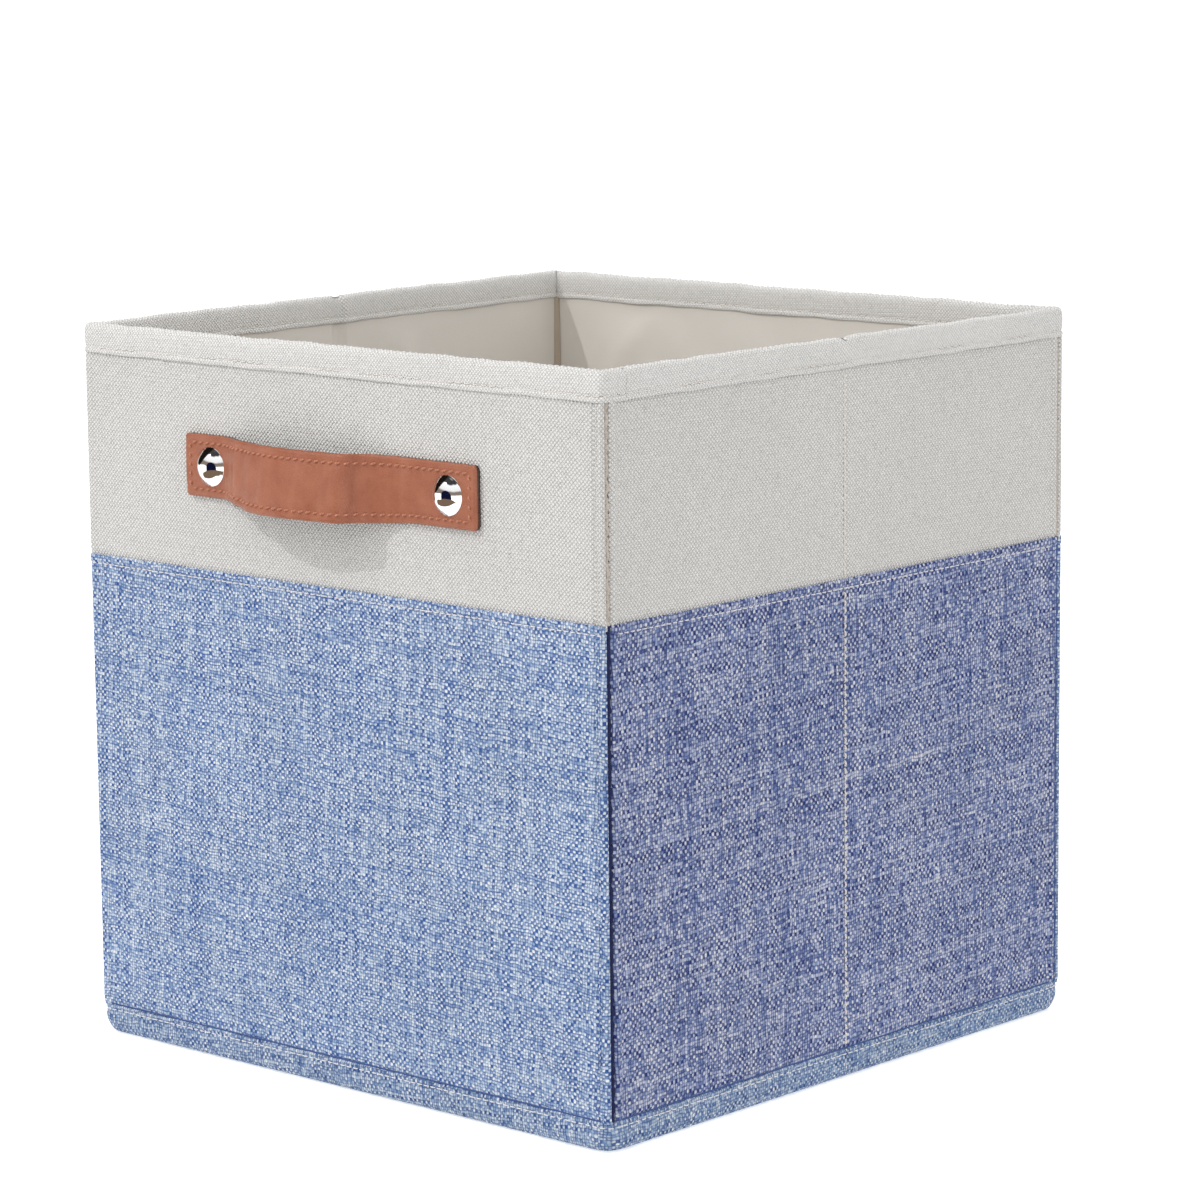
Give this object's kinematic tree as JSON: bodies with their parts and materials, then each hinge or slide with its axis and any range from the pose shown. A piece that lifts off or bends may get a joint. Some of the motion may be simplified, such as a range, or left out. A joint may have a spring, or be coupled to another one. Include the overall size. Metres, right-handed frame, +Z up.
{
  "type": "fabric storage bin",
  "caption": "Square open-topped collapsible fabric storage bin with cream upper band, blue melange lower walls, stitched rim, strap handles and a loose base board.",
  "frame": {"origin": "middle of the underside, on the surface the bin stands on", "axes": "+Z up, -Y out of the wall with the front handle, +X to the right seen from in front of that wall"},
  "size_m": [0.2886, 0.3206, 0.3],
  "materials": {
    "cream_canvas": "coarse woven canvas, matt, off-white",
    "blue_melange": "linen-look melange weave, matt, dark blue and near-white threads",
    "pale_lining": "smooth non-woven lining, matt, pale grey",
    "cream_binding": "folded canvas tape with a stitched lower edge, off-white",
    "blue_hem": "linen-look melange weave, matt, lighter blue",
    "paperboard": "grey-brown pressed paperboard, matt",
    "tan_leather": "smooth tan leather with fine grain and a stitched edge",
    "dark_leather": "dark leather backing, cut edge",
    "mirror_rivet": "mirror-bright plated dome",
    "rivet_steel": "plain plated steel",
    "seam_fabric": "folded seam edge, in the shade of the corner groove",
    "white_thread": "sewing thread, off-white"
  },
  "bodies": {
    "front": {"front_board": "paperboard", "front_lower_fabric": "blue_melange", "front_upper_fabric": "cream_canvas", "front_lining": "pale_lining", "front_rim_binding": "cream_binding", "front_hem": "blue_hem", "bottom_panel": "blue_hem", "front_handle_strap": "tan_leather", "front_handle_backing": "dark_leather", "front_rivet_caps": "mirror_rivet", "front_rivet_posts": "rivet_steel", "front_rivet_washers": "rivet_steel", "corner_seam_front_left": "seam_fabric", "corner_seam_front_right": "seam_fabric"},
    "left_front": {"left_front_board": "paperboard", "left_front_lower_fabric": "blue_melange", "left_front_upper_fabric": "cream_canvas", "left_front_lining": "pale_lining", "left_front_rim_binding": "cream_binding", "left_front_hem": "blue_hem", "left_centre_seam": "white_thread"},
    "left_back": {"left_back_board": "paperboard", "left_back_lower_fabric": "blue_melange", "left_back_upper_fabric": "cream_canvas", "left_back_lining": "pale_lining", "left_back_rim_binding": "cream_binding", "left_back_hem": "blue_hem"},
    "back": {"back_board": "paperboard", "back_lower_fabric": "blue_melange", "back_upper_fabric": "cream_canvas", "back_lining": "pale_lining", "back_rim_binding": "cream_binding", "back_hem": "blue_hem", "back_handle_strap": "tan_leather", "back_handle_backing": "dark_leather", "back_rivet_caps": "mirror_rivet", "back_rivet_posts": "rivet_steel", "back_rivet_washers": "rivet_steel", "corner_seam_back_left": "seam_fabric", "corner_seam_back_right": "seam_fabric"},
    "right_front": {"right_front_board": "paperboard", "right_front_lower_fabric": "blue_melange", "right_front_upper_fabric": "cream_canvas", "right_front_lining": "pale_lining", "right_front_rim_binding": "cream_binding", "right_front_hem": "blue_hem", "right_centre_seam": "white_thread"},
    "right_back": {"right_back_board": "paperboard", "right_back_lower_fabric": "blue_melange", "right_back_upper_fabric": "cream_canvas", "right_back_lining": "pale_lining", "right_back_rim_binding": "cream_binding", "right_back_hem": "blue_hem"},
    "base_board": {"base_board_core": "paperboard", "base_board_cover": "pale_lining", "base_board_under_sheet": "pale_lining"}
  },
  "joints": [
    {"name": "left_front_fold", "type": "hinge", "parent": "front", "child": "left_front", "pos_m": [-0.1391, -0.1391, 0.15], "axis": [0, 0, -1], "range_deg": [0, 78], "deforming": ["left_front_hem", "left_back_hem", "back_hem", "bottom_panel"]},
    {"name": "left_back_fold", "type": "hinge", "parent": "left_front", "child": "left_back", "pos_m": [-0.1443, 0, 0.15], "axis": [0, 0, 1], "range_deg": [0, 156]},
    {"name": "back_fold", "type": "hinge", "parent": "left_back", "child": "back", "pos_m": [-0.1391, 0.1391, 0.15], "axis": [0, 0, -1], "range_deg": [0, 78]},
    {"name": "right_front_fold", "type": "hinge", "parent": "front", "child": "right_front", "pos_m": [0.1391, -0.1391, 0.15], "axis": [0, 0, 1], "range_deg": [0, 78], "deforming": ["right_front_hem", "right_back_hem"]},
    {"name": "right_back_fold", "type": "hinge", "parent": "right_front", "child": "right_back", "pos_m": [0.1443, 0, 0.15], "axis": [0, 0, -1], "range_deg": [0, 156]},
    {"name": "base_board_lift", "type": "slide", "parent": "front", "child": "base_board", "axis": [0, 0, 1], "range_m": [0, 0.32]}
  ],
  "couplings": [
    {"joint": "left_back_fold", "follows": "left_front_fold", "ratio": 2},
    {"joint": "back_fold", "follows": "left_front_fold", "ratio": 1},
    {"joint": "right_front_fold", "follows": "left_front_fold", "ratio": 1},
    {"joint": "right_back_fold", "follows": "left_front_fold", "ratio": 2}
  ]
}
